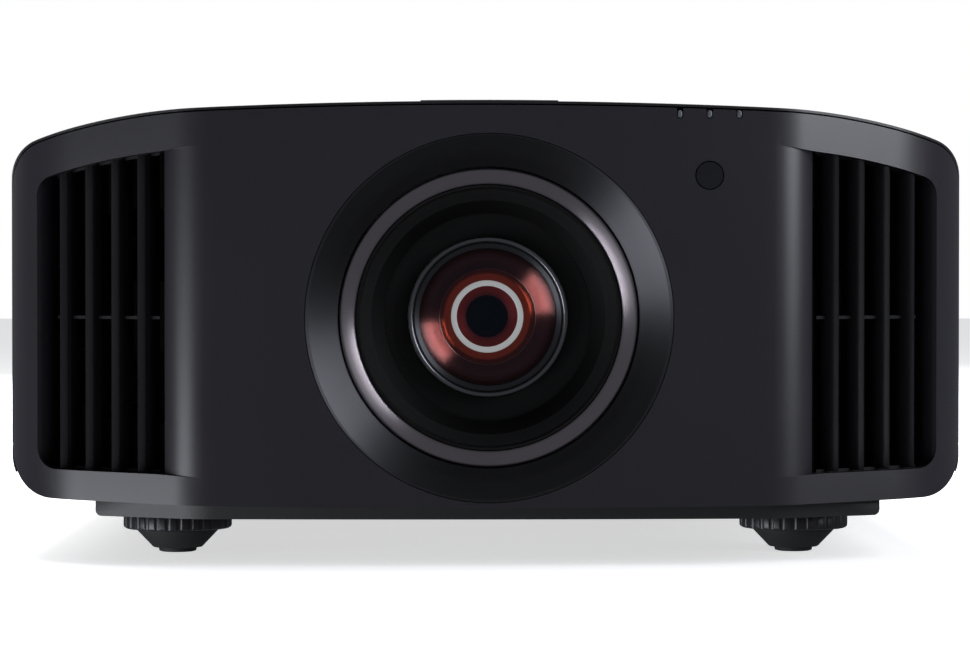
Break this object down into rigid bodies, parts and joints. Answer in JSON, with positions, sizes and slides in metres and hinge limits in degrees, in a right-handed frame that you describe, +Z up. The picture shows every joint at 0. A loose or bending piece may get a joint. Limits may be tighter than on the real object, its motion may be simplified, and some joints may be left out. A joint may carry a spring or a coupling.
{
  "type": "home projector",
  "caption": "Home cinema projector with a central lens in a conical bezel, swept-back bladed vents at both sides and screw feet.",
  "frame": {"origin": "on the floor under the middle of the case's width and depth", "axes": "the lens looks along -Y, +X is to the right seen from in front, +Z is up"},
  "size_m": [0.5, 0.505, 0.234],
  "materials": {
    "case_paint": "satin paint on a moulded panel, near black with a violet cast",
    "cover_paint": "satin powder coat on folded steel",
    "chassis_paint": "fine-grained black powder coat",
    "rear_plastic": "fine spark-eroded black moulding",
    "black_plastic": "satin black moulding",
    "key_plastic": "satin black key caps",
    "lens_black": "matt black anodised",
    "trim_gunmetal": "turned, gunmetal anodised",
    "bright_ring": "bright turned",
    "smoked_window": "polished smoked window",
    "light_pipe": "clear light pipe",
    "foot_rubber": "matt moulded rubber",
    "coated_glass": "coated optical glass",
    "gear_nylon": "natural nylon",
    "motor_can": "plated can",
    "bare_aluminium": "die-cast and machined",
    "bright_steel": "ground and plated steel",
    "engine_casting": "die-cast, dark passivated",
    "supply_case": "vented supply module",
    "circuit_board": "solder-masked board"
  },
  "bodies": {
    "case": {"front_panel": "case_paint", "top_cover": "cover_paint", "bottom_chassis": "chassis_paint", "rear_panel": "rear_plastic", "lens_bezel": "lens_black", "lens_trim_ring": "trim_gunmetal", "lens_shroud": "lens_black", "remote_sensor_window": "smoked_window", "indicator_light_pipe": "light_pipe", "exhaust_louvre_right": "black_plastic", "exhaust_louvre_left": "black_plastic", "fan_frame_right": "black_plastic", "fan_frame_left": "black_plastic", "shift_base": "bare_aluminium", "vertical_shift_motor": "motor_can", "optical_block": "engine_casting", "laser_heatsink": "bare_aluminium", "power_supply": "supply_case", "main_board": "circuit_board", "terminal_plate": "chassis_paint", "video_socket_1": "bright_steel", "video_socket_2": "bright_steel", "network_socket": "bright_steel", "power_inlet": "black_plastic"},
    "vertical_stage": {"vertical_carriage": "bare_aluminium", "horizontal_shift_motor": "motor_can"},
    "lens": {"horizontal_carriage": "bare_aluminium", "lens_barrel": "lens_black", "lens_light_shield": "lens_black", "lens_retaining_ring": "lens_black", "front_lens_element": "coated_glass", "inner_lens_ring": "bright_ring", "inner_lens_element": "coated_glass", "focus_motor": "motor_can", "zoom_motor": "motor_can"},
    "vertical_screw": {"vertical_shift_screw": "bright_steel"},
    "horizontal_screw": {"horizontal_shift_screw": "bright_steel"},
    "focus_ring": {"focus_ring": "gear_nylon"},
    "zoom_ring": {"zoom_ring": "gear_nylon"},
    "focus_pinion": {"focus_pinion": "gear_nylon"},
    "zoom_pinion": {"zoom_pinion": "gear_nylon"},
    "fan_rotor_right": {"fan_rotor_right": "black_plastic"},
    "fan_rotor_left": {"fan_rotor_left": "black_plastic"},
    "filter_cover": {"filter_cover": "black_plastic"},
    "foot_front_left": {"foot_stem_front_left": "foot_rubber"},
    "foot_wheel_front_left": {"foot_wheel_front_left": "black_plastic"},
    "foot_front_right": {"foot_stem_front_right": "foot_rubber"},
    "foot_wheel_front_right": {"foot_wheel_front_right": "black_plastic"},
    "foot_rear_left": {"foot_stem_rear_left": "foot_rubber"},
    "foot_wheel_rear_left": {"foot_wheel_rear_left": "black_plastic"},
    "foot_rear_right": {"foot_stem_rear_right": "foot_rubber"},
    "foot_wheel_rear_right": {"foot_wheel_rear_right": "black_plastic"},
    "up_button": {"up_button": "key_plastic"},
    "down_button": {"down_button": "key_plastic"},
    "left_button": {"left_button": "key_plastic"},
    "right_button": {"right_button": "key_plastic"},
    "ok_button": {"ok_button": "key_plastic"},
    "menu_button": {"menu_button": "key_plastic"},
    "back_button": {"back_button": "key_plastic"},
    "power_button": {"power_button": "key_plastic"}
  },
  "joints": [
    {"name": "lens_shift_vertical", "type": "slide", "parent": "case", "child": "vertical_stage", "axis": [0, 0, 1], "range_m": [-0.008, 0.008]},
    {"name": "lens_shift_horizontal", "type": "slide", "parent": "vertical_stage", "child": "lens", "axis": [1, 0, 0], "range_m": [-0.0065, 0.0065]},
    {"name": "vertical_screw_turn", "type": "hinge", "parent": "case", "child": "vertical_screw", "pos_m": [0.0965, -0.0965, 0.1252], "axis": [0, 0, 1], "range_deg": [-721, 721]},
    {"name": "horizontal_screw_turn", "type": "hinge", "parent": "vertical_stage", "child": "horizontal_screw", "pos_m": [0, -0.1155, 0.2002], "axis": [1, 0, 0], "range_deg": [-586, 586]},
    {"name": "focus_ring_turn", "type": "hinge", "parent": "lens", "child": "focus_ring", "pos_m": [0, -0.1895, 0.1252], "axis": [0, 1, 0], "range_deg": [-45, 45]},
    {"name": "focus_pinion_turn", "type": "hinge", "parent": "lens", "child": "focus_pinion", "pos_m": [-0.03818, -0.1895, 0.16338], "axis": [0, 1, 0], "range_deg": [-226, 226]},
    {"name": "zoom_ring_turn", "type": "hinge", "parent": "lens", "child": "zoom_ring", "pos_m": [0, -0.1605, 0.1252], "axis": [0, 1, 0], "range_deg": [-45, 45]},
    {"name": "zoom_pinion_turn", "type": "hinge", "parent": "lens", "child": "zoom_pinion", "pos_m": [0.03818, -0.1605, 0.16338], "axis": [0, 1, 0], "range_deg": [-226, 226]},
    {"name": "fan_spin_right", "type": "hinge", "parent": "case", "child": "fan_rotor_right", "pos_m": [0.178, -0.1645, 0.1252], "axis": [0, 1, 0], "continuous": true},
    {"name": "fan_spin_left", "type": "hinge", "parent": "case", "child": "fan_rotor_left", "pos_m": [-0.178, -0.1645, 0.1252], "axis": [0, 1, 0], "continuous": true},
    {"name": "foot_front_left_extend", "type": "slide", "parent": "case", "child": "foot_front_left", "axis": [0, 0, -1], "range_m": [0, 0.005]},
    {"name": "foot_front_left_turn", "type": "hinge", "parent": "foot_front_left", "child": "foot_wheel_front_left", "pos_m": [-0.164, -0.1425, 0.016], "axis": [0, 0, -1], "range_deg": [0, 1200]},
    {"name": "foot_front_right_extend", "type": "slide", "parent": "case", "child": "foot_front_right", "axis": [0, 0, -1], "range_m": [0, 0.005]},
    {"name": "foot_front_right_turn", "type": "hinge", "parent": "foot_front_right", "child": "foot_wheel_front_right", "pos_m": [0.164, -0.1425, 0.016], "axis": [0, 0, -1], "range_deg": [0, 1200]},
    {"name": "foot_rear_left_extend", "type": "slide", "parent": "case", "child": "foot_rear_left", "axis": [0, 0, -1], "range_m": [0, 0.005]},
    {"name": "foot_rear_left_turn", "type": "hinge", "parent": "foot_rear_left", "child": "foot_wheel_rear_left", "pos_m": [-0.164, 0.1825, 0.016], "axis": [0, 0, -1], "range_deg": [0, 1200]},
    {"name": "foot_rear_right_extend", "type": "slide", "parent": "case", "child": "foot_rear_right", "axis": [0, 0, -1], "range_m": [0, 0.005]},
    {"name": "foot_rear_right_turn", "type": "hinge", "parent": "foot_rear_right", "child": "foot_wheel_rear_right", "pos_m": [0.164, 0.1825, 0.016], "axis": [0, 0, -1], "range_deg": [0, 1200]},
    {"name": "up_button_press", "type": "slide", "parent": "case", "child": "up_button", "axis": [0, -1, 0], "range_m": [0, 0.001], "stiffness_N_per_m": 800, "springref_m": -0.001},
    {"name": "down_button_press", "type": "slide", "parent": "case", "child": "down_button", "axis": [0, -1, 0], "range_m": [0, 0.001], "stiffness_N_per_m": 800, "springref_m": -0.001},
    {"name": "left_button_press", "type": "slide", "parent": "case", "child": "left_button", "axis": [0, -1, 0], "range_m": [0, 0.001], "stiffness_N_per_m": 800, "springref_m": -0.001},
    {"name": "right_button_press", "type": "slide", "parent": "case", "child": "right_button", "axis": [0, -1, 0], "range_m": [0, 0.001], "stiffness_N_per_m": 800, "springref_m": -0.001},
    {"name": "ok_button_press", "type": "slide", "parent": "case", "child": "ok_button", "axis": [0, -1, 0], "range_m": [0, 0.001], "stiffness_N_per_m": 800, "springref_m": -0.001},
    {"name": "menu_button_press", "type": "slide", "parent": "case", "child": "menu_button", "axis": [0, -1, 0], "range_m": [0, 0.001], "stiffness_N_per_m": 800, "springref_m": -0.001},
    {"name": "back_button_press", "type": "slide", "parent": "case", "child": "back_button", "axis": [0, -1, 0], "range_m": [0, 0.001], "stiffness_N_per_m": 800, "springref_m": -0.001},
    {"name": "power_button_press", "type": "slide", "parent": "case", "child": "power_button", "axis": [0, -1, 0], "range_m": [0, 0.001], "stiffness_N_per_m": 800, "springref_m": -0.001},
    {"name": "filter_cover_tilt", "type": "hinge", "parent": "case", "child": "filter_cover", "pos_m": [-0.137, 0.2525, 0.1164], "axis": [-1, 0, 0], "range_deg": [0, 80]}
  ],
  "couplings": [
    {"joint": "vertical_screw_turn", "follows": "lens_shift_vertical", "rad_per_m": 1570.8},
    {"joint": "horizontal_screw_turn", "follows": "lens_shift_horizontal", "rad_per_m": 1570.8},
    {"joint": "focus_pinion_turn", "follows": "focus_ring_turn", "ratio": -5},
    {"joint": "zoom_pinion_turn", "follows": "zoom_ring_turn", "ratio": -5},
    {"joint": "foot_front_left_extend", "follows": "foot_front_left_turn", "m_per_rad": 0.00023873},
    {"joint": "foot_front_right_extend", "follows": "foot_front_right_turn", "m_per_rad": 0.00023873},
    {"joint": "foot_rear_left_extend", "follows": "foot_rear_left_turn", "m_per_rad": 0.00023873},
    {"joint": "foot_rear_right_extend", "follows": "foot_rear_right_turn", "m_per_rad": 0.00023873}
  ]
}
